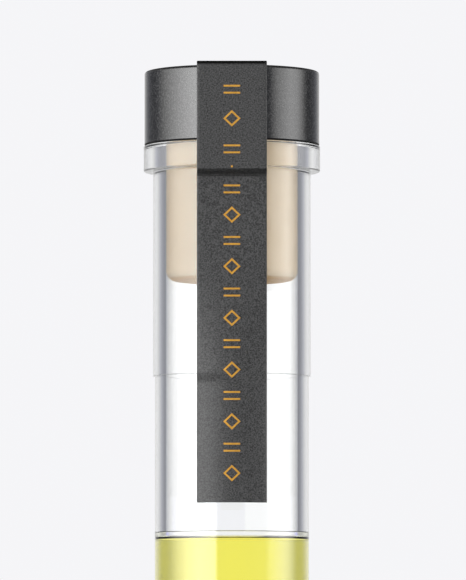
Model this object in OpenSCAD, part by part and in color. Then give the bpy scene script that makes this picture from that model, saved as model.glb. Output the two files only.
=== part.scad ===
// Stoppered glass sample vial: a flanged glass tube, a T-stopper held down by a paper seal strip,
// a sample liquid and a bed of placer gold on the floor of the tube.
// Millimetres. +Z is up, the origin is the centre of the foot, and -Y is the front.

/* [Glass vial] */
// Height of the glass from foot to lip
vial_h = 120; // [100:1:150]
// Outside diameter of the body
body_d = 16; // [15.6:0.1:16.2]
// Inside diameter of the bore
bore_d = 13.75; // [13.4:0.05:13.9]
// Outside diameter of the thicker neck band
neck_d = 16.4; // [16.3:0.1:16.8]
// Length of the neck band, lip included
neck_len = 24; // [20:0.5:30]
// Outside diameter of the lip
lip_d = 18.36; // [18.2:0.02:18.6]
// Height of the lip
lip_h = 2.7; // [2:0.1:3]
// Rounding of the lip's outer edges
lip_edge_r = 0.15; // [0.1:0.05:0.6]
// Rounding of the heel
heel_r = 1.3; // [0.8:0.1:2]
// Thickness of the glass at the middle of the base
base_t = 2; // [1.5:0.1:3]
// Rise of the hollow under the base
punt_h = 0.5; // [0.2:0.1:0.8]

/* [Stopper] */
// Outside diameter of the cap
cap_d = 18.2; // [17.6:0.1:18.2]
// Height of the cap
cap_h = 7.7; // [6.5:0.1:9]
// Rounding of the cap's top edge
cap_edge_r = 0.3; // [0.2:0.05:0.6]
// Thickness of the cap's shell
shell_t = 0.6; // [0.4:0.1:0.9]
// Length of the plug below the cap
plug_len = 14.15; // [12:0.05:18]
// Rounding of the plug's lower edge
plug_edge_r = 1.05; // [0.5:0.05:1.5]
// Diameter of the spigot that carries the plug
spigot_d = 5.6; // [4.8:0.1:6.4]

/* [Seal strip] */
// Width of the paper strip
strip_w = 7.2; // [6:0.1:8]
// Thickness of the paper
strip_t = 0.25; // [0.15:0.05:0.3]
// Distance from the lip's top down to the front tail's end
front_drop = 37.3; // [30:0.1:45]
// Distance from the lip's top down to the back tail's end
back_drop = 36.2; // [30:0.1:45]

/* [Contents] */
// Distance from the lip's top down to the liquid
ullage = 41; // [30:0.1:60]
// Rise of the meniscus at the glass
meniscus_h = 0.85; // [0.4:0.05:1]
// Number of layers in the bed of flakes
flake_layers = 4; // [1:1:4]
// Number of pickers in the ring round the middle one
ring_pickers = 6; // [3:1:6]

/* [Hidden] */
$fn = 96;
eps = 0.05;               // overlap that keeps a cut or a join clean

body_r = body_d / 2;
bore_r = bore_d / 2;
neck_r = neck_d / 2;
lip_r = lip_d / 2;
lip_z = vial_h - lip_h;   // underside of the lip
step_z = vial_h - neck_len;
step_edge_r = 0.15;       // rounding where the neck band ends
under_lip_r = 0.15;       // fillet under the lip
mouth_edge_r = 0.2;       // rounding at the mouth of the bore
floor_z = punt_h + base_t;
floor_r = 2;              // inside radius between floor and wall
punt_r = body_r - heel_r - 1.5;
punt_sphere_r = (punt_r * punt_r + punt_h * punt_h) / (2 * punt_h);

seat_gap = 0.03;          // daylight between the seated cap and the lip
cap_r = cap_d / 2;
cap_z = vial_h + seat_gap;
cap_top = cap_z + cap_h;
cap_foot_r = 0.15;        // rounding of the cap's lower edge
core_gap = 0.03;          // glue line between shell and core
core_r = cap_r - shell_t - core_gap;
core_top = cap_top - shell_t - core_gap;
core_floor_t = 1.6;       // solid floor of the core, under its pockets
core_ribs = 8;
core_rib_t = 0.8;
core_rim_t = 0.9;         // ring round the pockets
core_hub_r = 3.6;         // hub over the spigot
plug_fit = 0.025;         // radial clearance of the plug in the bore
plug_r = bore_r - plug_fit;
plug_z = vial_h - plug_len;
plug_top = cap_z + 0.25;  // the plug stands a little way into the core
spigot_len = 9;
spigot_r = spigot_d / 2;
barb_r = spigot_r + 0.35;
barb_h = 1.2;
barb_pitch = 2.2;
barb_count = 3;
socket_gap = 0.02;

strip_half = strip_w / 2;
strip_gap = 0.02;         // glue line between the strip and the lip
strip_top_gap = 0.1;      // the strip bridges the cap's edge and stands off it
strip_in = lip_r + strip_gap;
strip_out = strip_in + strip_t;
strip_top = cap_top + strip_top_gap + strip_t;
crease_r = 0.45;          // outside radius of the fold over the cap
tear_z = cap_z - seat_gap / 2;   // the strip parts here, level with the joint under the cap
tear_gap = 0.01;          // half the width of the slit
fold_z = lip_z - 0.4;     // the strip turns in this far below the lip
fold_h = 0.55;            // and reaches the neck after this much drop
neck_in = neck_r + strip_gap;
body_in = body_r + strip_gap;
step_fall = 0.8;          // height over which the strip follows the neck band's end
flat_until_z = vial_h - 8;    // the strip is flat from side to side above this height
wrapped_from_z = vial_h - 29; // and follows the round glass below this one
strip_columns = 10;       // facets across the strip
fold_steps = 3;           // facets in each fold

liquid_r = bore_r - 0.02;
liquid_z = vial_h - ullage;
meniscus_r = 1.2;         // width of the raised rim of liquid

flake_pitch = 1.75;       // spacing of the flakes in one layer
flake_t = 0.12;
flake_rise = 0.46;        // spacing of the layers
flake_tilt = 9;
flake_reach = [4.7, 4.9, 4.2, 3.2];   // outer radius of each layer
picker_z = floor_z + flake_layers * flake_rise + 0.75;
picker_ring_r = 2.5;
picker_size = 0.75;
picker_fn = 10;

// ---- outline helpers, drawn in the half plane x = radius, y = height ----

module band(r0, r1, z0, z1) {
    translate([r0, z0]) square([r1 - r0, z1 - z0]);
}

// Sliver between the corner at (r, z) and an arc of radius a. dr and dz, each 1 or -1, point from the
// corner to the arc's centre. Taken away it rounds an outside corner; added it fills an inside one.
module corner(r, z, dr, dz, a) {
    difference() {
        translate([min(r - dr * eps, r + dr * a), min(z - dz * eps, z + dz * a)])
            square(a + eps);
        translate([r + dr * a, z + dz * a]) circle(a);
    }
}

// ---- glass ----

module bore_outline(r, z0, z1) {
    difference() {
        band(0, r, z0, z1);
        corner(r, z0, -1, 1, floor_r - bore_r + r);
    }
}

module vial_outline() {
    difference() {
        union() {
            band(0, body_r, 0, step_z + eps);
            band(0, neck_r, step_z, lip_z + eps);
            band(0, lip_r, lip_z, vial_h);
            corner(neck_r, lip_z, 1, -1, under_lip_r);
        }
        corner(lip_r, vial_h, -1, -1, lip_edge_r);
        corner(lip_r, lip_z, -1, 1, lip_edge_r);
        corner(neck_r, step_z, -1, 1, step_edge_r);
        corner(body_r, 0, -1, 1, heel_r);
        bore_outline(bore_r, floor_z, vial_h + 1);
        corner(bore_r, vial_h, 1, -1, mouth_edge_r);
        translate([0, punt_h - punt_sphere_r]) circle(punt_sphere_r);
    }
}

module vial_body() {
    color([0.86, 0.9, 0.92, 0.35]) rotate_extrude() vial_outline();
}

// ---- stopper ----

module cap_shell() {
    color([0.09, 0.09, 0.095]) rotate_extrude() difference() {
        band(0, cap_r, cap_z, cap_top);
        corner(cap_r, cap_top, -1, -1, cap_edge_r);
        corner(cap_r, cap_z, -1, 1, cap_foot_r);
        band(0, cap_r - shell_t, cap_z - 1, cap_top - shell_t);
    }
}

// Barbed spigot, with clear added all round for its socket.
module spigot_outline(clear) {
    band(0, spigot_r + clear, cap_z - spigot_len - clear, plug_top + eps);
    for (i = [0 : barb_count - 1]) {
        z = cap_z - spigot_len + i * barb_pitch;
        polygon([
            [0, z - clear], [spigot_r + clear, z - clear],
            [barb_r + clear, z + barb_h - clear], [barb_r + clear, z + barb_h + clear],
            [0, z + barb_h + clear]
        ]);
    }
}

module core_pockets() {
    pocket_z = plug_top + core_floor_t;
    difference() {
        rotate_extrude() band(core_hub_r, core_r - core_rim_t, pocket_z, core_top + 1);
        for (i = [0 : core_ribs - 1])
            rotate(i * 360 / core_ribs)
                translate([0, -core_rib_t / 2, pocket_z - 1])
                    cube([core_r, core_rib_t, core_top]);
    }
}

module cap_core() {
    color([0.14, 0.14, 0.15]) difference() {
        rotate_extrude() union() {
            difference() {
                band(0, core_r, cap_z + 0.1, core_top);
                band(0, plug_r + socket_gap, cap_z - 1, plug_top);
            }
            spigot_outline(0);
        }
        core_pockets();
    }
}

module stopper_plug() {
    color([0.87, 0.78, 0.66]) rotate_extrude() difference() {
        band(0, plug_r, plug_z, plug_top - socket_gap);
        corner(plug_r, plug_z, -1, 1, plug_edge_r);
        spigot_outline(socket_gap);
    }
}

// ---- seal strip ----

// The strip over the cap, seen from the side: a folded band, from tear line to tear line.
module strip_fold_outline() {
    difference() {
        band(-strip_out, strip_out, tear_z + tear_gap, strip_top);
        corner(strip_out, strip_top, -1, -1, crease_r);
        corner(-strip_out, strip_top, 1, -1, crease_r);
        difference() {
            band(-strip_in, strip_in, tear_z - 1, strip_top - strip_t);
            corner(strip_in, strip_top - strip_t, -1, -1, crease_r - strip_t);
            corner(-strip_in, strip_top - strip_t, 1, -1, crease_r - strip_t);
        }
    }
}

module seal_strip_cap() {
    color([0.2, 0.2, 0.2]) rotate([90, 0, 90])
        linear_extrude(strip_w, center = true) strip_fold_outline();
}

function smooth(t) = let (c = min(1, max(0, t))) c * c * (3 - 2 * c);
function unit(v) = v / norm(v);

// A corner b of a path a-b-c as an arc of radius r with fold_steps facets.
function arc_at(a, b, c, r) =
    let (u = unit(a - b), v = unit(c - b),
         half = acos(u * v) / 2,
         centre = b + unit(u + v) * r / sin(half),
         start = b + u * r / tan(half), end = b + v * r / tan(half))
    [for (i = [0 : fold_steps])
        let (p = start + (end - start) * i / fold_steps)
        centre + unit(p - centre) * r];

// Back face of a tail down its middle, as [distance from the axis, height].
function tail_corners(drop) = [
    [strip_in, tear_z - tear_gap], [strip_in, fold_z], [neck_in, fold_z - fold_h],
    [neck_in, step_z], [body_in, step_z - step_fall],
    [body_in, vial_h - drop]
];
function tail_path(drop) =
    let (c = tail_corners(drop), radii = [0, 0.3, 0.3, 2, 2])
    concat([c[0]],
        [for (i = [1 : 2]) each arc_at(c[i - 1], c[i], c[i + 1], radii[i])],
        [for (z = [flat_until_z : -3 : step_z + 1]) [neck_in, z]],
        [for (i = [3 : 4]) each arc_at(c[i - 1], c[i], c[i + 1], radii[i])],
        [for (z = [step_z - 3 : -2 : wrapped_from_z]) [body_in, z]],
        [c[5]]);
function path_normal(p, i) =
    let (d = unit(p[min(i + 1, len(p) - 1)] - p[max(i - 1, 0)])) [-d[1], d[0]];

// Point of the strip at x across it, for a path point q: flat above, wrapped round the glass below.
function strip_point(q, x) =
    let (wrap = smooth((flat_until_z - q[1]) / (flat_until_z - wrapped_from_z)))
    [x, -(q[0] - wrap * (q[0] - sqrt(q[0] * q[0] - x * x))), q[1]];

module strip_tail(drop) {
    back = tail_path(drop);
    rows = len(back);
    front = [for (i = [0 : rows - 1]) back[i] + strip_t * path_normal(back, i)];
    columns = strip_columns + 1;
    xs = [for (i = [0 : strip_columns]) -strip_half + strip_w * i / strip_columns];
    points = concat([for (q = back, x = xs) strip_point(q, x)],
                    [for (q = front, x = xs) strip_point(q, x)]);
    other = rows * columns;      // index of the first point of the front face
    function at(i, j) = i * columns + j;
    faces = concat(
        [for (i = [0 : rows - 2], j = [0 : strip_columns - 1])
            each [[at(i, j), at(i, j + 1), at(i + 1, j + 1)], [at(i, j), at(i + 1, j + 1), at(i + 1, j)]]],
        [for (i = [0 : rows - 2], j = [0 : strip_columns - 1])
            each [[other + at(i, j), other + at(i + 1, j + 1), other + at(i, j + 1)],
                  [other + at(i, j), other + at(i + 1, j), other + at(i + 1, j + 1)]]],
        [for (i = [0 : rows - 2], j = [0, strip_columns])
            let (a = at(i, j), b = at(i + 1, j))
            each (j == 0 ? [[a, b, other + b], [a, other + b, other + a]]
                         : [[a, other + b, b], [a, other + a, other + b]])],
        [for (j = [0 : strip_columns - 1], i = [0, rows - 1])
            let (a = at(i, j), b = at(i, j + 1))
            each (i == 0 ? [[a, other + a, other + b], [a, other + b, b]]
                         : [[a, other + b, other + a], [a, b, other + b]])]);
    polyhedron(points, faces, convexity = 4);
}

module seal_strip_front() {
    color([0.2, 0.2, 0.2]) strip_tail(front_drop);
}

module seal_strip_back() {
    color([0.2, 0.2, 0.2]) mirror([0, 1, 0]) strip_tail(back_drop);
}

// ---- contents ----

module sample_liquid() {
    color([0.91, 0.89, 0.36, 0.7]) rotate_extrude() difference() {
        bore_outline(liquid_r, floor_z + 0.02, liquid_z + meniscus_h);
        difference() {
            band(0, liquid_r, liquid_z, liquid_z + meniscus_h + 1);
            corner(liquid_r, liquid_z, -1, 1, meniscus_r);
        }
    }
}

// A flat irregular flake with its middle at the origin.
module flake(seed) {
    sides = 6;
    reach = rands(0.5, 0.8, sides, seed);
    tilt = rands(-flake_tilt, flake_tilt, 2, seed + 1);
    rotate([tilt[0], tilt[1], 0]) translate([0, 0, -flake_t / 2]) linear_extrude(flake_t)
        polygon([for (i = [0 : sides - 1])
            let (a = i * 360 / sides) reach[i] * [cos(a), sin(a)]]);
}

module gold_flakes() {
    rows = ceil(body_r / flake_pitch);
    color([0.85, 0.65, 0.2])
        for (layer = [0 : flake_layers - 1], i = [-rows : rows], j = [-rows : rows]) {
            shift = [layer % 2, layer % 2] * flake_pitch / 3;
            p = [(i + j / 2) * flake_pitch, j * flake_pitch * sqrt(3) / 2] + shift;
            if (norm(p) < flake_reach[layer])
                translate([p[0], p[1], floor_z + 0.25 + layer * flake_rise])
                    flake(layer * 1000 + (i + rows) * 31 + j + rows);
        }
}

// A small rounded lump of gold.
module picker(seed) {
    bump = rands(-0.35, 0.35, 12, seed);
    hull() for (i = [0 : 3])
        translate([bump[3 * i], bump[3 * i + 1], bump[3 * i + 2] / 2] * picker_size)
            sphere(picker_size * (0.55 + bump[i] / 2), $fn = picker_fn);
}

module gold_pickers() {
    color([0.88, 0.67, 0.22]) {
        translate([0, 0, picker_z]) picker(7);
        for (i = [0 : ring_pickers - 1])
            rotate(i * 360 / ring_pickers)
                translate([picker_ring_r, 0, picker_z]) picker(20 + i);
    }
}

vial_body();
cap_shell();
cap_core();
stopper_plug();
seal_strip_cap();
seal_strip_front();
seal_strip_back();
sample_liquid();
gold_flakes();
gold_pickers();
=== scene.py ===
"""Looks of the stoppered gold sample vial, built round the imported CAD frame.

Lengths are written in millimetres and turned into metres by MM. The foot is at z = 0 and the front is -Y.
"""

import math
import random

import bmesh
import bpy
from mathutils import Matrix, Vector, noise


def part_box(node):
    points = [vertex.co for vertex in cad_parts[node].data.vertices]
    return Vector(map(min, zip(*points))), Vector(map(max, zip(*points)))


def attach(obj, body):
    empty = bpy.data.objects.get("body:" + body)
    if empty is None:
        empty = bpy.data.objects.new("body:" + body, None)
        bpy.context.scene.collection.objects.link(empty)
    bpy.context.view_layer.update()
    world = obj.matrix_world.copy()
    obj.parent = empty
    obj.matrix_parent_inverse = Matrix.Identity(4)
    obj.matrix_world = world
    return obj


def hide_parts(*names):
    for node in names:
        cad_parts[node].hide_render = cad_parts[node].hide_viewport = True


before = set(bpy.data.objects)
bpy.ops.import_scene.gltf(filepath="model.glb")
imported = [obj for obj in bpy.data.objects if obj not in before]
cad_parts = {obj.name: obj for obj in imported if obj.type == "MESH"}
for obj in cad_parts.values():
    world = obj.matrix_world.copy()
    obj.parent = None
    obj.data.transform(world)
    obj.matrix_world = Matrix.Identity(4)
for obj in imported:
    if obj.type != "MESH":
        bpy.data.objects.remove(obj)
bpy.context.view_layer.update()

MM = 0.001
ON_AXIS = 1e-6  # a radius under this is a point on the axis


def cad_span(node, axis):
    """Lowest and highest coordinate of a CAD node along an axis, in millimetres."""
    low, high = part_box(node)
    return low[axis] / MM, high[axis] / MM


# ---- sizes ----

VIAL_H = cad_span("vial_body", 2)[1]
LIP_R = cad_span("vial_body", 0)[1]
CAP_R = cad_span("cap_shell", 0)[1]
CAP_Z, CAP_TOP = cad_span("cap_shell", 2)
PLUG_R = cad_span("stopper_plug", 0)[1]
PLUG_Z, PLUG_TOP = cad_span("stopper_plug", 2)
FLOOR_Z, LIQUID_TOP = cad_span("sample_liquid", 2)
STRIP_HALF = cad_span("seal_strip_cap", 0)[1]
STRIP_OUT = cad_span("seal_strip_cap", 1)[1]
STRIP_TOP = cad_span("seal_strip_cap", 2)[1]
FRONT_END = cad_span("seal_strip_front", 2)[0]
BACK_END = cad_span("seal_strip_back", 2)[0]

BODY_R = 8.0
BORE_R = 6.875
NECK_R = 8.2
NECK_Z = VIAL_H - 24.0  # where the neck band ends
STEP_H = 0.04  # height over which it does
LIP_Z = VIAL_H - 2.7  # underside of the lip
LIP_EDGE_R = 0.15
UNDER_LIP_R = 0.15
MOUTH_EDGE_R = 0.2
HEEL_R = 1.3
PUNT_H = 0.5
PUNT_R = 5.2
BORE_FLOOR_R = 2.0
WALL_SINK = 0.03  # how far the liquid reaches into the glass, so no film of air shows between them

MENISCUS_H = 0.77
FILM_T = 0.2  # thickness of the liquid that clings to the glass above the surface
FILM_TAPER = 0.03  # how much thinner it is at its foot
FILM_EDGE_R = 0.1
FILM_FOOT_R = 0.33

SHELL_T = 0.6
SPIGOT_R = 2.82
SPIGOT_LEN = 9.0
BARB_R = 3.17
BARB_H = 1.2
BARB_PITCH = 2.2
BARBS = 3
SOCKET_GAP = 0.02  # between the spigot's end and the socket's floor
PLUG_EDGE_R = 1.05

STRIP_T = 0.25
STRIP_GAP = 0.02
TEAR_Z = (VIAL_H + CAP_Z) / 2  # the strip parts level with the joint under the cap
FOLD_Z = LIP_Z - 0.4  # the strip turns in under the lip
FOLD_H = 0.55
FOLD_BEND_R = 0.2
STEP_FALL = 0.8
STEP_BEND_R = 2.0
STRIP_CELL = 0.8  # the most that a face of the strip measures along it
FLAT_UNTIL_Z = VIAL_H - 8.0
WRAPPED_FROM_Z = VIAL_H - 29.0
CREASE_R = 0.45

# ---- the camera, which stands level with the middle of the vial and looks slightly up ----

CAMERA_DISTANCE = 667.0
CAMERA_Z = 65.1
AIM_Z = 105.0
AIM_X = 0.115
SENSOR_H = 36.0
LENS = 398.8


# ---- small helpers ----


def smooth_step(t):
    """0 below 0 and 1 above 1, with a smooth rise between them."""
    t = min(1.0, max(0.0, t))
    return t * t * (3.0 - 2.0 * t)


def arc(centre, radius, start, end, steps=8):
    """Points of an arc in the half plane (r, z), from one angle in degrees to another."""
    points = []
    for i in range(steps + 1):
        angle = math.radians(start + (end - start) * i / steps)
        points.append((centre[0] + radius * math.cos(angle), centre[1] + radius * math.sin(angle)))
    return points


def add_part(vertices, faces, more_vertices, more_faces):
    """Appends the vertices and faces of a further part to those of a mesh."""
    first = len(vertices)
    vertices += more_vertices
    faces += [tuple(first + i for i in face) for face in more_faces]


def add_object(name, vertices, faces, material, body, smooth=True):
    """A mesh piece from vertices in millimetres, with its normals turned outwards."""
    mesh = bpy.data.meshes.new(name)
    mesh.from_pydata([Vector(v) * MM for v in vertices], [], faces)
    edit = bmesh.new()
    edit.from_mesh(mesh)
    bmesh.ops.recalc_face_normals(edit, faces=edit.faces)
    edit.to_mesh(mesh)
    edit.free()
    for polygon in mesh.polygons:
        polygon.use_smooth = smooth
    mesh.materials.append(material)
    piece = bpy.data.objects.new(name, mesh)
    bpy.context.scene.collection.objects.link(piece)
    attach(piece, body)
    return piece


SHARP_ANGLE = math.radians(50.0)


def weight_normals(piece):
    """Marks edges that bend by more than SHARP_ANGLE as sharp, and lets the large faces set the shading."""
    edit = bmesh.new()
    edit.from_mesh(piece.data)
    for edge in edit.edges:
        if len(edge.link_faces) == 2 and edge.calc_face_angle(0.0) > SHARP_ANGLE:
            edge.smooth = False
    edit.to_mesh(piece.data)
    edit.free()
    modifier = piece.modifiers.new("weighted_normals", "WEIGHTED_NORMAL")
    modifier.keep_sharp = True


LONG_WALL = 1.0
BRACED_AT = (0.03, 0.15)  # how far from each end of a long wall its added points lie


def brace(outline):
    """Adds points near both ends of each long wall, so that its shading stays true up to the fillets."""
    out = [outline[0]]
    for start, end in zip(outline, outline[1:]):
        a, b = Vector(start), Vector(end)
        length = (b - a).length
        if length > LONG_WALL:
            far = [length - distance for distance in reversed(BRACED_AT)]
            for distance in (*BRACED_AT, length / 2, *far):
                out.append(tuple(a.lerp(b, distance / length)))
        out.append(end)
    return out


def revolve(outline, segments):
    """Vertices and faces of an outline of (r, z) points turned about the axis, where it starts and ends."""
    vertices = []
    rings = []
    for r, z in brace(outline):
        if r < ON_AXIS:
            rings.append([len(vertices)] * segments)
            vertices.append((0.0, 0.0, z))
            continue
        rings.append([len(vertices) + i for i in range(segments)])
        for i in range(segments):
            angle = 2 * math.pi * i / segments
            vertices.append((r * math.cos(angle), r * math.sin(angle), z))
    faces = []
    for a, b in zip(rings, rings[1:]):
        for i in range(segments):
            j = (i + 1) % segments
            corners = [a[i], a[j], b[j], b[i]]
            faces.append([c for k, c in enumerate(corners) if c != corners[k - 1]])
    return vertices, faces


# ---- materials ----


def new_material(name):
    """A new material, with its node tree and its Principled shader."""
    material = bpy.data.materials.new(name)
    material.use_nodes = True
    tree = material.node_tree
    shader = tree.nodes["Principled BSDF"]
    return material, tree, shader


def position(tree):
    """Place in the object's own space, the same for every piece."""
    return tree.nodes.new("ShaderNodeTexCoord").outputs["Object"]


def part_of(tree, vector, axis):
    """One coordinate of a vector, named by its axis."""
    node = tree.nodes.new("ShaderNodeSeparateXYZ")
    tree.links.new(vector, node.inputs["Vector"])
    return node.outputs[axis]


def noise_of(tree, size, detail=2.0, roughness=0.5):
    """A noise field whose features are about size millimetres."""
    node = tree.nodes.new("ShaderNodeTexNoise")
    node.inputs["Scale"].default_value = 1.0 / (size * MM)
    node.inputs["Detail"].default_value = detail
    node.inputs["Roughness"].default_value = roughness
    tree.links.new(position(tree), node.inputs["Vector"])
    return node.outputs["Fac"]


def ramp(tree, source, stops):
    """Colours or greys picked by a value from 0 to 1."""
    node = tree.nodes.new("ShaderNodeValToRGB")
    elements = node.color_ramp.elements
    while len(elements) < len(stops):
        elements.new(0.5)
    for element, (place, colour) in zip(elements, stops):
        element.position = place
        element.color = (*colour, 1.0)
    tree.links.new(source, node.inputs["Fac"])
    return node.outputs["Color"]


def remap(tree, source, low, high):
    """A value from 0 to 1 spread between low and high."""
    node = tree.nodes.new("ShaderNodeMapRange")
    node.inputs["To Min"].default_value = low
    node.inputs["To Max"].default_value = high
    tree.links.new(source, node.inputs["Value"])
    return node.outputs["Result"]


def spread(tree, source, low, high):
    """A value turned into 0 at low and 1 at high."""
    node = tree.nodes.new("ShaderNodeMapRange")
    node.inputs["From Min"].default_value = low
    node.inputs["From Max"].default_value = high
    tree.links.new(source, node.inputs["Value"])
    return node.outputs["Result"]


def bump(tree, source, shader, height):
    """Relief of the given height in millimetres."""
    node = tree.nodes.new("ShaderNodeBump")
    node.inputs["Strength"].default_value = 1.0
    node.inputs["Distance"].default_value = height * MM
    tree.links.new(source, node.inputs["Height"])
    tree.links.new(node.outputs["Normal"], shader.inputs["Normal"])


def feed(tree, value, socket):
    """Gives a socket a plain value, or what another node puts out."""
    if isinstance(value, bpy.types.NodeSocket):
        tree.links.new(value, socket)
    else:
        socket.default_value = value


def calculate(tree, operation, *values):
    """Result of a math node."""
    node = tree.nodes.new("ShaderNodeMath")
    node.operation = operation
    for value, socket in zip(values, node.inputs):
        feed(tree, value, socket)
    return node.outputs["Value"]


def calculate_vector(tree, operation, *values):
    """Result of a math node for vectors and colours."""
    node = tree.nodes.new("ShaderNodeVectorMath")
    node.operation = operation
    for value, socket in zip(values, node.inputs):
        feed(tree, value, socket)
    return node.outputs["Value" if operation == "LENGTH" else "Vector"]


def mix_colours(tree, factor, first, second, blend="MIX"):
    """The first colour where factor is 0, going over to the second one, or to their blend."""
    node = tree.nodes.new("ShaderNodeMix")
    node.data_type = "RGBA"
    node.blend_type = blend
    feed(tree, factor, node.inputs["Factor"])
    feed(tree, first, node.inputs["A"])
    feed(tree, second, node.inputs["B"])
    return node.outputs["Result"]


def multiply(tree, first, second):
    """Product of two colours."""
    return mix_colours(tree, 1.0, first, second, "MULTIPLY")


def grey(value):
    """A neutral colour."""
    return (value, value, value)


def glass_material(name, mirror):
    """Clear tube glass, faintly uneven from drawing. mirror scales its head-on reflection."""
    material, tree, shader = new_material(name)
    shader.inputs["Transmission Weight"].default_value = 1.0
    shader.inputs["Specular Tint"].default_value = (mirror, mirror, mirror, 1.0)
    shader.inputs["IOR"].default_value = 1.474
    tint = ramp(tree, noise_of(tree, 12.0), [(0.3, (0.985, 0.99, 0.99)), (0.7, (0.995, 1.0, 1.0))])
    tree.links.new(tint, shader.inputs["Base Color"])
    tree.links.new(remap(tree, noise_of(tree, 3.0), 0.0, 0.004), shader.inputs["Roughness"])
    bump(tree, noise_of(tree, 6.0, detail=0.0), shader, 0.0015)
    return material


def liquid_material():
    """Clear yellow-green liquid coloured by its depth. It mirrors little where it wets the glass."""
    material, tree, shader = new_material("sample_liquid")
    shader.inputs["Transmission Weight"].default_value = 1.0
    level = calculate_vector(tree, "MULTIPLY", position(tree), (1.0, 1.0, 0.0))
    radius = calculate_vector(tree, "LENGTH", level)
    wall = spread(tree, radius, (BORE_R - 0.02) * MM, BORE_R * MM)
    mirror = ramp(tree, wall, [(0.0, grey(1.0)), (1.0, grey(0.1))])
    tree.links.new(mirror, shader.inputs["Specular Tint"])
    shader.inputs["IOR"].default_value = 1.34
    shader.inputs["Base Color"].default_value = (1.0, 1.0, 1.0, 1.0)
    tree.links.new(remap(tree, noise_of(tree, 4.0), 0.0, 0.004), shader.inputs["Roughness"])
    bump(tree, noise_of(tree, 5.0, detail=0.0), shader, 0.001)
    depth = tree.nodes.new("ShaderNodeVolumeAbsorption")
    depth.inputs["Color"].default_value = (0.993, 0.96, 0.014, 1.0)
    depth.inputs["Density"].default_value = 155.0
    tree.links.new(depth.outputs["Volume"], tree.nodes["Material Output"].inputs["Volume"])
    return material


def cap_material():
    """Satin black with a fine grain."""
    material, tree, shader = new_material("black_satin")
    grain = noise_of(tree, 0.2, roughness=0.6)
    colour = ramp(tree, grain, [(0.46, grey(0.0)), (0.62, grey(0.036))])
    tree.links.new(colour, shader.inputs["Base Color"])
    tree.links.new(remap(tree, grain, 0.13, 0.22), shader.inputs["Roughness"])
    shader.inputs["IOR"].default_value = 1.55
    bump(tree, grain, shader, 0.006)
    return material


def edge_shade_material():
    """The cap's thin rolled edges, given painted shade: a dull finish blacker than its side, which stays
    dark under any light.
    """
    material, tree, shader = new_material("painted_edge_shade")
    grain = noise_of(tree, 0.12)
    tree.links.new(ramp(tree, grain, [(0.3, grey(0.001)), (0.7, grey(0.003))]), shader.inputs["Base Color"])
    tree.links.new(remap(tree, grain, 0.5, 0.6), shader.inputs["Roughness"])
    shader.inputs["Specular IOR Level"].default_value = 0.12
    return material


def insert_material():
    """Moulded dark plastic."""
    material, tree, shader = new_material("insert_plastic")
    grain = noise_of(tree, 0.25)
    tree.links.new(ramp(tree, grain, [(0.3, grey(0.015)), (0.7, grey(0.024))]), shader.inputs["Base Color"])
    tree.links.new(remap(tree, grain, 0.4, 0.55), shader.inputs["Roughness"])
    bump(tree, grain, shader, 0.01)
    return material


def plug_material():
    """Matt cream elastomer, slightly mottled, with painted shade round its lower edge that makes it darker
    and warmer there.
    """
    material, tree, shader = new_material("plug_elastomer")
    mottle = noise_of(tree, 1.6, detail=4.0, roughness=0.6)
    colour = ramp(tree, mottle, [(0.3, (0.78, 0.62, 0.42)), (0.7, (0.83, 0.67, 0.47))])
    # Painted shade: the colour darkens and warms towards the plug's lower edge.
    foot_shade_h = 0.6
    height = spread(tree, part_of(tree, position(tree), "Z"), PLUG_Z * MM, (PLUG_Z + foot_shade_h) * MM)
    foot_shade_stops = [(0.1, (0.85, 0.62, 0.29)), (0.35, (0.80, 0.66, 0.42)), (0.65, grey(1.0))]
    foot = ramp(tree, height, foot_shade_stops)
    fine = noise_of(tree, 0.12)
    pores = ramp(tree, fine, [(0.38, (0.9, 0.88, 0.84)), (0.55, grey(1.0))])
    # The mottled colour times the painted shade at the foot and the pores.
    tree.links.new(multiply(tree, multiply(tree, colour, foot), pores), shader.inputs["Base Color"])
    tree.links.new(remap(tree, fine, 0.5, 0.7), shader.inputs["Roughness"])
    shader.inputs["Specular IOR Level"].default_value = 0.1
    bump(tree, fine, shader, 0.006)
    return material


def fold_shade(tree):
    """How much of its colour the strip keeps at each place: painted shade darkens its folds."""
    low = FOLD_Z - 2.0
    span = STRIP_TOP - low
    # Heights and shares of the painted shade: the bend in under the lip and the fold over the top.
    stops = [
        (FOLD_Z - FOLD_H + 0.02, 1.0),
        (FOLD_Z - FOLD_H + 0.12, 0.5),
        (FOLD_Z - 0.04, 0.36),
        (FOLD_Z + 0.10, 1.0),
        (STRIP_TOP - 0.46, 1.0),
        (STRIP_TOP - 0.34, 0.4),
        (STRIP_TOP - 0.22, 0.02),
    ]
    up = part_of(tree, position(tree), "Z")
    height = spread(tree, up, low * MM, STRIP_TOP * MM)
    painted_fold_shade = ramp(tree, height, [((z - low) / span, grey(share)) for z, share in stops])
    # The painted shade is kept off the flat top over the cap.
    outwards = calculate(tree, "ABSOLUTE", part_of(tree, position(tree), "Y"))
    past_cap = spread(tree, outwards, (CAP_R - 0.4) * MM, (CAP_R - 0.15) * MM)
    below_top = calculate(tree, "LESS_THAN", up, (STRIP_TOP - 1.0) * MM)
    on_fold = calculate(tree, "MAXIMUM", past_cap, below_top)
    return mix_colours(tree, on_fold, (1.0, 1.0, 1.0, 1.0), painted_fold_shade)


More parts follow.
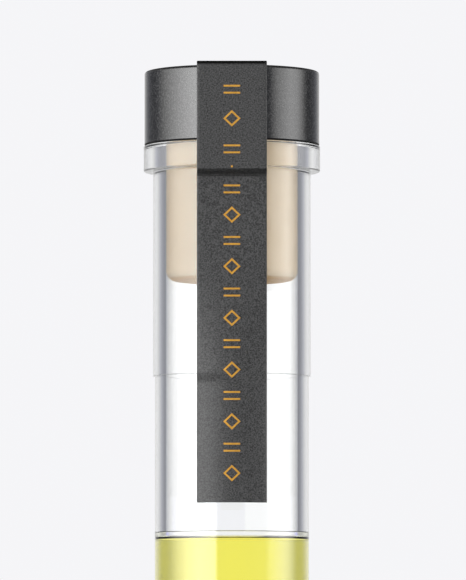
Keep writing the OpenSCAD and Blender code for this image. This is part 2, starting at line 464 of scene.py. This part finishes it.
def paper_material():
    """Dark grey laid paper: fine fibres, scattered black specks, and painted shade on its folds, which also
    dims their gloss.
    """
    material, tree, shader = new_material("seal_paper")
    fibre = noise_of(tree, 0.15, detail=3.0, roughness=0.8)
    speck = noise_of(tree, 0.2, detail=1.0)
    base = ramp(tree, fibre, [(0.40, grey(0.002)), (0.60, grey(0.064))])
    dark = ramp(tree, speck, [(0.28, grey(0.1)), (0.34, grey(1.0))])
    shade = fold_shade(tree)
    # The paper's colour, darkened by the painted shade at the folds.
    painted_fold_shade = multiply(tree, multiply(tree, base, dark), shade)
    tree.links.new(painted_fold_shade, shader.inputs["Base Color"])
    # The painted shade also dims the gloss on the folds.
    tree.links.new(remap(tree, shade, 0.0, 0.5), shader.inputs["Specular IOR Level"])
    tree.links.new(remap(tree, fibre, 0.36, 0.52), shader.inputs["Roughness"])
    bump(tree, fibre, shader, 0.012)
    return material


def foil_material():
    """Stamped gold foil."""
    material, tree, shader = new_material("gold_foil")
    press = noise_of(tree, 0.3, detail=3.0)
    colour = ramp(tree, press, [(0.3, (0.50, 0.25, 0.03)), (0.7, (0.60, 0.32, 0.05))])
    tree.links.new(colour, shader.inputs["Base Color"])
    shader.inputs["Metallic"].default_value = 0.6
    tree.links.new(remap(tree, press, 0.4, 0.6), shader.inputs["Roughness"])
    bump(tree, press, shader, 0.004)
    return material


def gold_material():
    """Water-worn native gold."""
    material, tree, shader = new_material("placer_gold")
    wear = noise_of(tree, 0.35, detail=4.0, roughness=0.65)
    colour = ramp(tree, wear, [(0.3, (0.83, 0.50, 0.11)), (0.7, (1.0, 0.72, 0.25))])
    tree.links.new(colour, shader.inputs["Base Color"])
    shader.inputs["Metallic"].default_value = 1.0
    tree.links.new(remap(tree, wear, 0.22, 0.45), shader.inputs["Roughness"])
    bump(tree, wear, shader, 0.05)
    return material


# ---- glass ----


def glass_outline():
    """Half section of the tube, from the middle of the foot round to the middle of the floor inside."""
    sphere_r = (PUNT_R**2 + PUNT_H**2) / (2 * PUNT_H)
    steps = 8
    punt = []
    for i in range(steps + 1):
        r = PUNT_R * i / steps
        punt.append((r, math.sqrt(sphere_r**2 - r**2) + PUNT_H - sphere_r))
    step = []
    for i in range(steps + 1):
        t = i / steps
        step.append((BODY_R + (NECK_R - BODY_R) * smooth_step(t), NECK_Z + STEP_H * (t - 0.5)))
    edge = LIP_EDGE_R
    return (
        punt
        + arc((BODY_R - HEEL_R, HEEL_R), HEEL_R, -90, 0, 12)
        + step
        + arc((NECK_R + UNDER_LIP_R, LIP_Z - UNDER_LIP_R), UNDER_LIP_R, 180, 90)
        + arc((LIP_R - edge, LIP_Z + edge), edge, -90, 0)
        + arc((LIP_R - edge, VIAL_H - edge), edge, 0, 90)
        + arc((BORE_R + MOUTH_EDGE_R, VIAL_H - MOUTH_EDGE_R), MOUTH_EDGE_R, 90, 180)
        + arc((BORE_R - BORE_FLOOR_R, FLOOR_Z + BORE_FLOOR_R), BORE_FLOOR_R, 0, -90, 12)
        + [(0.0, FLOOR_Z)]
    )


def give_faces(piece, material, chosen):
    """A second finish for the faces whose centre, as (radius, height) in millimetres, is chosen."""
    piece.data.materials.append(material)
    for polygon in piece.data.polygons:
        x, y, z = polygon.center / MM
        if chosen(math.hypot(x, y), z):
            polygon.material_index = 1


def make_glass(outside, bore):
    """The tube, with a second finish on its bore."""
    slack = 0.01

    def on_bore(r, z):
        return r < BORE_R + slack and FLOOR_Z - slack < z < VIAL_H - MOUTH_EDGE_R

    vertices, faces = revolve(glass_outline(), 256)
    glass = add_object("vial_glass", vertices, faces, outside, "vial")
    give_faces(glass, bore, on_bore)
    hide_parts("vial_body")
    weight_normals(glass)


def make_liquid(material):
    """The liquid, which climbs the glass in a thin film round its flat surface."""
    radius = BORE_R + WALL_SINK
    flat_z = LIQUID_TOP - MENISCUS_H
    film_r = BORE_R - FILM_T
    foot_r = film_r + FILM_TAPER
    high = LIQUID_TOP - FILM_EDGE_R
    low = flat_z + FILM_FOOT_R
    bend, inset = 0.002, 0.03  # two points near the film's ends keep its shading even
    floor_centre = (BORE_R - BORE_FLOOR_R, FLOOR_Z + BORE_FLOOR_R)
    outline = (
        [(0.0, FLOOR_Z - WALL_SINK)]
        + arc(floor_centre, BORE_FLOOR_R + WALL_SINK, -90, 0, 12)
        + [(radius, LIQUID_TOP)]
        + arc((film_r + FILM_EDGE_R, high), FILM_EDGE_R, 90, 180, 6)
        + [(film_r + bend, high - inset), (foot_r - bend, low + inset)]
        + arc((foot_r - FILM_FOOT_R, low), FILM_FOOT_R, 0, -90, 10)
        + [(0.0, flat_z)]
    )
    vertices, faces = revolve(outline, 256)
    liquid = add_object("liquid_fill", vertices, faces, material, "vial")
    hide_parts("sample_liquid")
    weight_normals(liquid)


# ---- stopper ----


def make_cap(satin, edge_shade):
    """The cup that covers the stopper, with a second, dark finish on its rolled edges: painted shade."""
    top_edge = 0.3
    foot_edge = 0.15
    inner_edge = 0.3
    inner_r = CAP_R - SHELL_T
    inner_top = CAP_TOP - SHELL_T
    shade_from, shade_until = CAP_TOP - 0.2, CAP_TOP - 0.005
    outline = (
        [(0.0, CAP_TOP)]
        + arc((CAP_R - top_edge, CAP_TOP - top_edge), top_edge, 90, 0)
        + arc((CAP_R - foot_edge, CAP_Z + foot_edge), foot_edge, 0, -90, 6)
        + [(inner_r, CAP_Z)]
        + arc((inner_r - inner_edge, inner_top - inner_edge), inner_edge, 0, 90, 4)
        + [(0.0, inner_top)]
    )

    # Faces on the rolled edges round the top and the foot, which get the painted shade.
    def on_edge(r, z):
        return r > inner_r and (z < CAP_Z + foot_edge or shade_from < z < shade_until)

    vertices, faces = revolve(outline, 192)
    cap = add_object("cap_cup", vertices, faces, satin, "stopper")
    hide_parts("cap_shell")
    give_faces(cap, edge_shade, on_edge)
    weight_normals(cap)


def make_plug(material):
    """The plug, with a barbed socket for the insert's spigot."""
    socket = [(SPIGOT_R, PLUG_TOP)]
    for i in reversed(range(BARBS)):
        z = CAP_Z - SPIGOT_LEN + i * BARB_PITCH
        socket += [(SPIGOT_R, z + BARB_H), (BARB_R, z + BARB_H), (SPIGOT_R, z)]
    outline = (
        [(0.0, PLUG_Z)]
        + arc((PLUG_R - PLUG_EDGE_R, PLUG_Z + PLUG_EDGE_R), PLUG_EDGE_R, -90, 0, 12)
        + [(PLUG_R, PLUG_TOP)]
        + socket
        + [(0.0, CAP_Z - SPIGOT_LEN - SOCKET_GAP)]
    )
    vertices, faces = revolve(outline, 192)
    plug = add_object("plug_moulding", vertices, faces, material, "stopper")
    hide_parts("stopper_plug")
    weight_normals(plug)


def finish_insert(material):
    """Gives the insert inside the cap, which keeps its CAD shape, its own look."""
    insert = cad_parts["cap_core"]
    insert.data.materials.clear()
    insert.data.materials.append(material)


# ---- seal strip ----


def round_corners(corners, radii, steps=6):
    """A path of (distance, z) points with its inner corners rounded."""
    path = [corners[0]]
    for a, b, c, radius in zip(corners, corners[1:], corners[2:], radii):
        a, b, c = Vector(a), Vector(b), Vector(c)
        u = (a - b).normalized()
        v = (c - b).normalized()
        half = u.angle(v) / 2
        centre = b + (u + v).normalized() * radius / math.sin(half)
        start = b + u * radius / math.tan(half)
        end = b + v * radius / math.tan(half)
        for i in range(steps + 1):
            ray = start.lerp(end, i / steps) - centre
            path.append(tuple(centre + ray.normalized() * radius))
    path.append(corners[-1])
    return path


def subdivide(path, longest):
    """Adds points to a path so that no stretch is longer than longest."""
    out = [path[0]]
    for a, b in zip(path, path[1:]):
        a, b = Vector(a), Vector(b)
        pieces = max(1, math.ceil((b - a).length / longest))
        out += [tuple(a.lerp(b, (i + 1) / pieces)) for i in range(pieces)]
    return out


def path_normals(path):
    """Unit normals on the left of the path's direction, as seen in the side view."""
    normals = []
    for i in range(len(path)):
        before = Vector(path[max(i - 1, 0)])
        after = Vector(path[min(i + 1, len(path) - 1)])
        along = (after - before).normalized()
        normals.append(Vector((-along.y, along.x)))
    return normals


def tear_rise(x):
    """Height of the torn edge above the joint, the same on both sides of the tear."""
    wave = 0.05 * noise.noise(Vector((x * 3.1, 0.0, 0.0)))
    fray = 0.03 * noise.noise(Vector((x * 11.0, 5.0, 0.0)))
    return wave + fray


def wrap_at(distance, z, x):
    """How far the strip's surface falls back at x, where it follows the round glass."""
    wrap = smooth_step((FLAT_UNTIL_Z - z) / (FLAT_UNTIL_Z - WRAPPED_FROM_Z))
    return wrap * (distance - math.sqrt(distance**2 - x**2))


def tail_path(end_z):
    """Back of a tail down its middle, from the tear to its end."""
    back_out = STRIP_OUT - STRIP_T
    neck = NECK_R + STRIP_GAP
    body = BODY_R + STRIP_GAP
    corners = [
        (back_out, TEAR_Z),
        (back_out, FOLD_Z),
        (neck, FOLD_Z - FOLD_H),
        (neck, NECK_Z),
        (body, NECK_Z - STEP_FALL),
        (body, end_z),
    ]
    bends = [FOLD_BEND_R, FOLD_BEND_R, STEP_BEND_R, STEP_BEND_R]
    return subdivide(round_corners(corners, bends), STRIP_CELL)


def fold_path():
    """Back of the strip over the cap, from the front tear to the back one, with the front as positive."""
    reach = STRIP_OUT - STRIP_T
    top = STRIP_TOP - STRIP_T
    corners = [(-reach, TEAR_Z), (-reach, top), (reach, top), (reach, TEAR_Z)]
    return subdivide(round_corners(corners, [CREASE_R - STRIP_T] * 2), STRIP_CELL)


def strip_columns():
    """Places across the strip, with how much of its thickness it has there: its long edges are soft."""
    edge_w = 0.09
    inner = STRIP_HALF - edge_w
    count = 24
    middle = [(-inner + 2 * inner * i / count, 1.0) for i in range(count + 1)]
    left = [(-STRIP_HALF, 0.72), (-STRIP_HALF + 0.03, 0.92)]
    right = [(-x, share) for x, share in reversed(left)]
    return left + middle + right


def paper_mesh(path, wrapped, torn_rows):
    """A band of paper with its back along path. Rows in torn_rows lie on a tear."""
    columns = strip_columns()
    normals = path_normals(path)
    rows = len(path)
    width = len(columns)
    vertices = []
    for side in (0.0, STRIP_T):
        for i, (distance, z) in enumerate(path):
            for x, share in columns:
                out = distance + normals[i].x * side * share
                up = z + normals[i].y * side * share
                if i in torn_rows:
                    up += tear_rise(x)
                if wrapped:
                    out -= wrap_at(distance, z, x)
                vertices.append((x, -out, up))
    faces = []
    front = rows * width
    for i in range(rows - 1):
        for j in range(width - 1):
            a, b = i * width + j, (i + 1) * width + j
            faces.append((a, a + 1, b + 1, b))
            faces.append((front + a, front + b, front + b + 1, front + a + 1))
    for i in range(rows - 1):
        for j in (0, width - 1):
            a, b = i * width + j, (i + 1) * width + j
            faces.append((a, b, front + b, front + a))
    for j in range(width - 1):
        for i in (0, rows - 1):
            a = i * width + j
            faces.append((a, front + a, front + a + 1, a + 1))
    return vertices, faces


def turned_back(vertices):
    """The same points on the strip's back side."""
    return [(x, -y, z) for x, y, z in vertices]


def make_strip(material):
    """The seal strip in three parts: one over the cap and a tail down each side of the glass."""
    vertices, faces = paper_mesh(tail_path(FRONT_END), True, [0])
    front = add_object("strip_front", vertices, faces, material, "vial")
    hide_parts("seal_strip_front")
    vertices, faces = paper_mesh(tail_path(BACK_END), True, [0])
    back = add_object("strip_back", turned_back(vertices), faces, material, "vial")
    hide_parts("seal_strip_back")
    path = fold_path()
    vertices, faces = paper_mesh(path, False, [0, len(path) - 1])
    over = add_object("strip_over_cap", vertices, faces, material, "stopper")
    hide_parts("seal_strip_cap")
    for piece in (front, back, over):
        weight_normals(piece)


# ---- foil marks on the strip ----

MARK_W = 1.7
DIAMOND_HALF_H = 0.72
BAR_RISE = 0.36  # of each bar above or below the middle of its pair
MARK_PITCH = 2.655
MARKS = 12
LOWEST_MARK_Z = FRONT_END + 3.0
FOLD_DOT_Z = LIP_Z - 0.15
LIP_BARS_Z = LIP_Z + 1.65
CAP_DIAMOND_Z = VIAL_H + 2.1
CAP_BARS_Z = VIAL_H + 5.1
MARK_CELL = 0.25  # the most that a face of a mark measures along its stroke
STROKE = 0.19
FOIL_PROUD = 0.012
FOIL_SUNK = 0.03


def strip_front_distance(z):
    """Distance from the axis of the strip's front surface down its middle, at height z."""
    if z > TEAR_Z:
        return STRIP_OUT
    path = tail_path(FRONT_END)
    normals = path_normals(path)
    front = [Vector(p) + n * STRIP_T for p, n in zip(path, normals)]
    for a, b in zip(front, front[1:]):
        if b.y <= z <= a.y:
            return a.x + (b.x - a.x) * (a.y - z) / (a.y - b.y)
    return front[-1].x


def stroke_loop(points, closed):
    """Left and right edges of a stroke of even width along points."""
    left, right = [], []
    count = len(points)
    for i, point in enumerate(points):
        here = Vector(point)
        before = Vector(points[i - 1]) if closed or i > 0 else None
        after = Vector(points[(i + 1) % count]) if closed or i < count - 1 else None
        u = (here - before).normalized() if before is not None else (after - here).normalized()
        v = (after - here).normalized() if after is not None else u
        bisector = (u + v).normalized()
        side = Vector((-bisector.y, bisector.x))
        reach = STROKE / 2 / max(0.3, bisector.dot(u))
        left.append(here + side * reach)
        right.append(here - side * reach)
    return left, right


def foil_stroke(points, closed, place):
    """Vertices and faces of one stroke, laid on the strip by place(x, z, lift)."""
    left, right = stroke_loop(points, closed)
    count = len(points)
    vertices = []
    for lift in (FOIL_PROUD, -FOIL_SUNK):
        for edge in (left, right):
            vertices += [place(p.x, p.y, lift) for p in edge]
    faces = []
    top_left, top_right, low_left, low_right = 0, count, 2 * count, 3 * count
    last = count if closed else count - 1
    for i in range(last):
        j = (i + 1) % count
        faces.append((top_left + i, top_left + j, top_right + j, top_right + i))
        faces.append((low_left + i, low_right + i, low_right + j, low_left + j))
        faces.append((top_left + i, low_left + i, low_left + j, top_left + j))
        faces.append((top_right + i, top_right + j, low_right + j, low_right + i))
    if not closed:
        for i in (0, count - 1):
            faces.append((top_left + i, top_right + i, low_right + i, low_left + i))
    return vertices, faces


def diamond(z):
    """An open diamond."""
    half_w = MARK_W / 2 - STROKE / 2
    top, foot = z + DIAMOND_HALF_H, z - DIAMOND_HALF_H
    corners = [(half_w, z), (0.0, top), (-half_w, z), (0.0, foot), (half_w, z)]
    return [(subdivide(corners, MARK_CELL)[:-1], True)]


def double_bar(z):
    """Two bars across the strip."""
    half_w = MARK_W / 2
    bars = []
    for rise in (-BAR_RISE, BAR_RISE):
        bars.append((subdivide([(-half_w, z + rise), (half_w, z + rise)], MARK_CELL), False))
    return bars


def dot(z):
    """A small square dot."""
    return [([(-STROKE / 2, z), (0.0, z), (STROKE / 2, z)], False)]


def make_marks(name, marks, facing, body, material):
    """Foil marks on the strip's front (facing 1) or back (facing -1)."""

    def place(x, z, lift):
        distance = strip_front_distance(z)
        fall = wrap_at(distance, z, x) if z < TEAR_Z else 0.0
        return (x, -facing * (distance - fall + lift), z)

    vertices, faces = [], []
    for strokes in marks:
        for points, closed in strokes:
            add_part(vertices, faces, *foil_stroke(points, closed, place))
    add_object(name, vertices, faces, material, body, smooth=False)


def make_all_marks(material):
    """The same column of marks on the strip's front and back."""
    tail = []
    for i in range(MARKS):
        z = LOWEST_MARK_Z + i * MARK_PITCH
        tail.append(double_bar(z) if i % 2 else diamond(z))
    tail.append(dot(FOLD_DOT_Z))
    tail.append(double_bar(LIP_BARS_Z))
    cap = [diamond(CAP_DIAMOND_Z), double_bar(CAP_BARS_Z)]
    for side, facing in (("front", 1), ("back", -1)):
        make_marks(f"foil_tail_{side}", tail, facing, "vial", material)
        make_marks(f"foil_cap_{side}", cap, facing, "stopper", material)


# ---- gold ----

BED_CELL = 0.25


class Bed:
    """Height of the bed of gold over the floor, kept on a grid, so that each piece lands on those below."""

    def __init__(self):
        self.heights = {}

    def cells(self, x, y, reach):
        span = math.ceil(reach / BED_CELL)
        i0, j0 = round(x / BED_CELL), round(y / BED_CELL)
        for i in range(i0 - span, i0 + span + 1):
            for j in range(j0 - span, j0 + span + 1):
                if math.hypot(i * BED_CELL - x, j * BED_CELL - y) <= reach:
                    yield i, j

    def top(self, x, y, reach):
        return max(self.heights.get(c, 0.0) for c in self.cells(x, y, reach))

    def fill(self, x, y, reach, height):
        for c in self.cells(x, y, reach):
            self.heights[c] = max(self.heights.get(c, 0.0), height)


def flake_mesh(rng, reach, thickness):
    """A thin crumpled flake round the origin."""
    sides = rng.randint(9, 13)
    rim = []
    for i in range(sides):
        angle = 2 * math.pi * (i + rng.uniform(-0.25, 0.25)) / sides
        r = reach * rng.uniform(0.72, 1.05)
        rim.append((r * math.cos(angle), r * math.sin(angle) * 0.85, rng.uniform(-0.6, 0.6) * thickness))
    inner = [(x * 0.55, y * 0.55, z + rng.uniform(-0.5, 0.5) * thickness) for x, y, z in rim]
    vertices = []
    for lift in (0.5, -0.5):
        vertices += [(x, y, z + lift * thickness * 0.6) for x, y, z in rim]
        vertices += [(x, y, z + lift * thickness) for x, y, z in inner]
        vertices.append((0.0, 0.0, lift * thickness))
    half = 2 * sides + 1
    faces = []
    for i in range(sides):
        j = (i + 1) % sides
        for base, flip in ((0, False), (half, True)):
            quad = (base + i, base + j, base + sides + j, base + sides + i)
            fan = (base + sides + i, base + sides + j, base + 2 * sides)
            faces.append(quad[::-1] if flip else quad)
            faces.append(fan[::-1] if flip else fan)
        faces.append((i, half + i, half + j, j))
    return vertices, faces


def make_flakes(bed, material):
    """A heap of flakes, each of which lies on those made before it."""
    rng = random.Random(41)
    flakes_made = 230
    tilt = 0.22
    lowest = FLOOR_Z + 0.2
    bed_r = BORE_R - 1.9
    rests_on = 0.6  # share of a flake's reach that finds what lies under it
    covers = 0.75  # share on which later flakes land
    loose = 1.15  # height that a flake takes up, in thicknesses
    vertices, faces = [], []
    for _ in range(flakes_made):
        reach = rng.uniform(0.35, 0.85)
        thickness = rng.uniform(0.08, 0.15)
        r = (bed_r - reach * 0.5) * math.sqrt(rng.random())
        angle = rng.uniform(0.0, 2 * math.pi)
        x, y = r * math.cos(angle), r * math.sin(angle)
        level = bed.top(x, y, reach * rests_on)
        bed.fill(x, y, reach * covers, level + thickness * loose)
        pitch = Matrix.Rotation(rng.uniform(-tilt, tilt), 4, "X")
        roll = Matrix.Rotation(rng.uniform(-tilt, tilt), 4, "Y")
        turn = pitch @ roll @ Matrix.Rotation(rng.uniform(0, math.pi), 4, "Z")
        centre = Vector((x, y, lowest + level))
        flat, flake_faces = flake_mesh(rng, reach, thickness)
        add_part(vertices, faces, [tuple(centre + turn @ Vector(v)) for v in flat], flake_faces)
    flakes = add_object("flake_bed", vertices, faces, material, "vial")
    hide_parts("gold_flakes")


def make_pickers(bed, material):
    """Larger grains: one in the middle of the bed and a ring of six round it."""
    rng = random.Random(7)
    ring = 6
    ring_r = 2.5
    lowest = FLOOR_Z + 0.35
    squash = Vector((1.15, 0.9, 0.62))
    places = [(0.0, 0.0)]
    for i in range(ring):
        angle = math.pi * i * 2 / ring
        places.append((ring_r * math.cos(angle), ring_r * math.sin(angle)))
    edit = bmesh.new()
    for x, y in places:
        size = rng.uniform(0.65, 0.95)
        seed = Vector((rng.uniform(0, 50), rng.uniform(0, 50), rng.uniform(0, 50)))
        centre = Vector((x, y, lowest + bed.top(x, y, size) + 0.3 * size))
        made = bmesh.ops.create_icosphere(edit, subdivisions=4, radius=1.0)
        turn = Matrix.Rotation(rng.uniform(0, math.pi), 3, "Z")
        for vertex in made["verts"]:
            ray = vertex.co.normalized()
            lumps = 1.0 + 0.38 * noise.noise(ray * 1.6 + seed) + 0.12 * noise.noise(ray * 5.0 + seed)
            shaped = turn @ Vector([a * b for a, b in zip(ray * lumps * size, squash)])
            vertex.co = (centre + shaped) * MM
    mesh = bpy.data.meshes.new("pickers")
    edit.to_mesh(mesh)
    edit.free()
    for polygon in mesh.polygons:
        polygon.use_smooth = True
    mesh.materials.append(material)
    pickers = bpy.data.objects.new("pickers", mesh)
    bpy.context.scene.collection.objects.link(pickers)
    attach(pickers, "vial")
    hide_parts("gold_pickers")


# ---- studio ----

BACKGROUND = (0.915, 0.915, 0.935, 1.0)
LIGHT_SCALE = 10.0
THROUGH_GLASS = 3.0  # the most that a panel gives where it is seen through the glass
THROUGH_LIQUID = 1.0  # the same where its light has crossed the liquid twice
LIQUID_DARKEST = (0.5, 0.5, 0.5)  # the least that the dark gaps give where they are seen through the liquid
LIQUID_EDGE = (0.67, 0.67, 1.3)  # the same towards the sides, which the liquid's edges look out at
LIQUID_SIDE = (0.95, 0.95, 1.6)
ONTO_CONTENTS = 2.7  # even light on what stands behind the glass

# How many surfaces light has passed through when it is seen there.
IN_GLASS = 1
PAST_LIQUID = 5
PAST_LIQUID_TWICE = 7

# The least light seen through the liquid, by the angle from the camera towards either side.
LIQUID_LEAST = [(90, LIQUID_SIDE), (118, LIQUID_SIDE), (128, LIQUID_EDGE), (138, LIQUID_DARKEST)]

# Share of the panels' light, and brightness of the dome, by height: 0 is straight down and 1 straight up.
PANEL_MASK = [(0.30, 0.0), (0.38, 1.0), (0.60, 1.0), (0.70, 0.0)]
DOME = [(0.5, 0.06), (0.62, 0.04), (0.8, 0.05), (0.86, 0.11), (1.0, 0.13)]

# Brightness of the studio round the object: angle from the camera towards the left, and radiance.
STUDIO_ROUND = [
    (-180, 0.92),
    (-165, 0.90),
    (-156, 0.68),
    (-148, 0.46),
    (-140, 0.30),
    (-130, 0.23),
    (-117, 0.20),
    (-110, 0.9),
    (-104, 2.3),
    (-96, 3.8),
    (-84, 5.0),
    (-72, 4.1),
    (-60, 2.7),
    (-52, 0.5),
    (21, 0.5),
    (26, 8.2),
    (50, 9.0),
    (62, 7.5),
    (74, 5.75),
    (82, 4.45),
    (90, 3.3),
    (98, 2.2),
    (106, 1.25),
    (113, 0.56),
    (120, 0.27),
    (132, 0.25),
    (140, 0.32),
    (148, 0.46),
    (156, 0.68),
    (165, 0.90),
    (180, 0.92),
]


def cool_grey(radiance):
    """Colour of the studio where it has the given radiance: its dim parts are slightly blue."""
    value = radiance / LIGHT_SCALE
    if radiance > 0.6:
        return grey(value)
    return (value * 0.96, value * 0.98, value * 1.08)


def at_most(tree, colour, radiance):
    """A colour with each of its parts held under a radiance."""
    return calculate_vector(tree, "MINIMUM", colour, grey(radiance / LIGHT_SCALE))


def from_depth(tree, depth_now, depth, before, after):
    """One colour for light that has met fewer than depth surfaces, and another for the rest."""
    passed = calculate(tree, "GREATER_THAN", depth_now, depth - 0.5)
    return mix_colours(tree, passed, before, after)


def round_ramp(tree, around, stops):
    """Colours picked by the angle round the object."""
    return ramp(tree, around, [((angle + 180) / 360, colour) for angle, colour in stops])


def panel_light(tree, direction, path):
    """Colour of the round of panels, limited where it is seen through the glass or the liquid."""
    leftwards = calculate(tree, "MULTIPLY", part_of(tree, direction, "X"), -1.0)
    forwards = calculate(tree, "MULTIPLY", part_of(tree, direction, "Y"), -1.0)
    around = spread(tree, calculate(tree, "ARCTAN2", leftwards, forwards), -math.pi, math.pi)
    panels = round_ramp(tree, around, [(angle, cool_grey(value)) for angle, value in STUDIO_ROUND])
    least = [(angle, [part / LIGHT_SCALE for part in colour]) for angle, colour in LIQUID_LEAST]
    other_side = [(-angle, colour) for angle, colour in reversed(least)]
    gaps = round_ramp(tree, around, other_side + least)
    crossed = path.outputs["Transmission Depth"]
    in_glass = at_most(tree, panels, THROUGH_GLASS)
    in_liquid = calculate_vector(tree, "MAXIMUM", in_glass, gaps)
    twice = at_most(tree, in_liquid, THROUGH_LIQUID)
    inside = from_depth(tree, crossed, PAST_LIQUID, in_glass, in_liquid)
    inside = from_depth(tree, crossed, PAST_LIQUID_TWICE, inside, twice)
    even = (*grey(ONTO_CONTENTS / LIGHT_SCALE), 1.0)
    inside = from_depth(tree, path.outputs["Diffuse Depth"], 1, inside, even)
    return from_depth(tree, crossed, IN_GLASS, panels, inside)


def make_studio():
    """A round of soft panels with dark gaps behind the object's sides, under an even dome."""
    world = bpy.data.worlds.new("studio")
    bpy.context.scene.world = world
    world.use_nodes = True
    tree = world.node_tree
    background = tree.nodes["Background"]
    direction = tree.nodes.new("ShaderNodeTexCoord").outputs["Generated"]
    path = tree.nodes.new("ShaderNodeLightPath")
    height = spread(tree, part_of(tree, direction, "Z"), -1.0, 1.0)
    mask = ramp(tree, height, [(place, grey(value)) for place, value in PANEL_MASK])
    dome = ramp(tree, height, [(place, grey(value)) for place, value in DOME])
    light = mix_colours(tree, mask, dome, panel_light(tree, direction, path))
    tree.links.new(light, background.inputs["Color"])
    background.inputs["Strength"].default_value = LIGHT_SCALE
    plain = tree.nodes.new("ShaderNodeBackground")
    plain.inputs["Color"].default_value = BACKGROUND
    switch = tree.nodes.new("ShaderNodeMixShader")
    tree.links.new(path.outputs["Is Camera Ray"], switch.inputs["Fac"])
    tree.links.new(background.outputs["Background"], switch.inputs[1])
    tree.links.new(plain.outputs["Background"], switch.inputs[2])
    tree.links.new(switch.outputs["Shader"], tree.nodes["World Output"].inputs["Surface"])


def make_floor():
    """The pale ground that the vial stands on, far wider than any view of it."""
    material, tree, shader = new_material("floor")
    cloud = noise_of(tree, 60.0)
    tree.links.new(ramp(tree, cloud, [(0.3, grey(0.79)), (0.7, grey(0.81))]), shader.inputs["Base Color"])
    shader.inputs["Roughness"].default_value = 0.9
    shader.inputs["Specular IOR Level"].default_value = 0.1
    reach = 6000.0 * MM
    corners = [(-reach, -reach, 0), (reach, -reach, 0), (reach, reach, 0), (-reach, reach, 0)]
    mesh = bpy.data.meshes.new("floor")
    mesh.from_pydata(corners, [], [(0, 1, 2, 3)])
    mesh.materials.append(material)
    floor = bpy.data.objects.new("floor", mesh)
    floor.location.z = -0.01 * MM
    bpy.context.scene.collection.objects.link(floor)


def make_camera():
    """A long lens far in front of the vial."""
    data = bpy.data.cameras.new("camera")
    data.sensor_fit = "VERTICAL"
    data.sensor_height = SENSOR_H
    data.lens = LENS
    data.clip_start = 0.01
    data.clip_end = 50.0
    camera = bpy.data.objects.new("camera", data)
    place = Vector((AIM_X, -CAMERA_DISTANCE, CAMERA_Z)) * MM
    aim = Vector((AIM_X, 0.0, AIM_Z)) * MM
    camera.location = place
    camera.rotation_euler = (aim - place).to_track_quat("-Z", "Y").to_euler()
    bpy.context.scene.collection.objects.link(camera)
    bpy.context.scene.camera = camera


# ---- put together ----

make_camera()
make_studio()
make_floor()
make_glass(glass_material("clear_glass", 1.0), glass_material("glass_bore", 0.1))
make_liquid(liquid_material())
make_cap(cap_material(), edge_shade_material())
make_plug(plug_material())
make_strip(paper_material())
make_all_marks(foil_material())
gold = gold_material()
gold_bed = Bed()
make_flakes(gold_bed, gold)
make_pickers(gold_bed, gold)
finish_insert(insert_material())
bpy.context.scene.view_settings.view_transform = "Standard"
